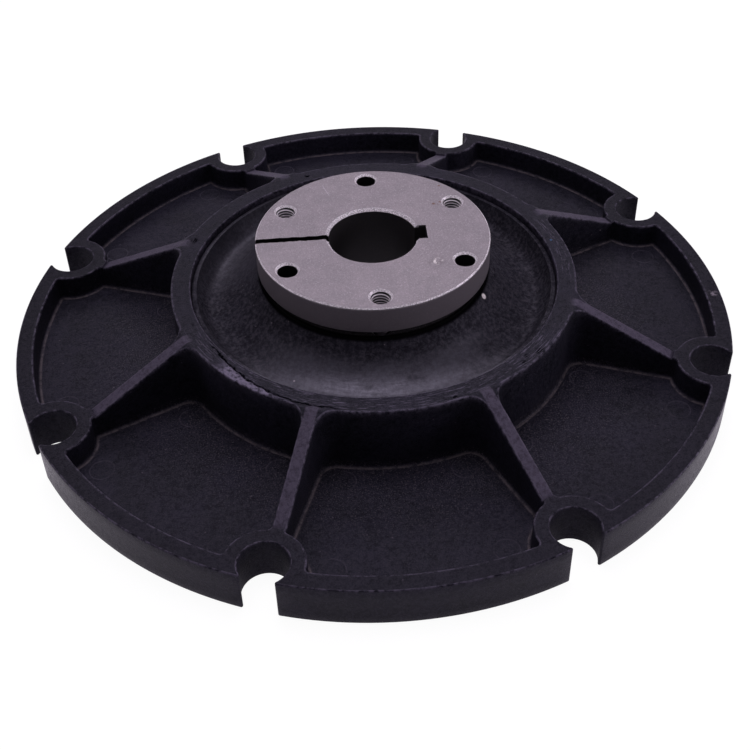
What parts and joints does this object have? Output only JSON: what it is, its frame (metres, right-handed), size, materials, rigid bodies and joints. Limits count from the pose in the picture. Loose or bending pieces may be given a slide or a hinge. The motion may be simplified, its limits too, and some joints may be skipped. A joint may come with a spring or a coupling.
{
  "type": "flexible drive coupling",
  "caption": "Round flexible coupling: a ribbed polymer flange with open bolt notches, bonded by a rubber ring to a metal hub that holds a split taper bush with a keyed bore.",
  "frame": {"origin": "centre of the rim's flat face, on the shaft axis", "axes": "+Z along the shaft axis from the flywheel towards the front face of the bush; the bolt notches straddle X and Y, and the keyway lies close to +X"},
  "size_m": [0.3144, 0.3144, 0.0581],
  "materials": {
    "flange_polymer": "dark moulded polymer, slightly rough",
    "bonded_rubber": "smooth dark rubber",
    "hub_iron": "dark machined iron",
    "bush_iron": "bare machined iron, satin",
    "screw_steel": "plain steel",
    "washer_steel": "plain steel"
  },
  "bodies": {
    "root": {"outer_flange": "flange_polymer", "rubber_element": "bonded_rubber", "inner_hub": "hub_iron", "taper_bush": "bush_iron", "hub_screw_1": "screw_steel", "hub_screw_2": "screw_steel", "hub_screw_3": "screw_steel", "lock_washer_1": "washer_steel", "lock_washer_2": "washer_steel", "lock_washer_3": "washer_steel"}
  },
  "joints": []
}
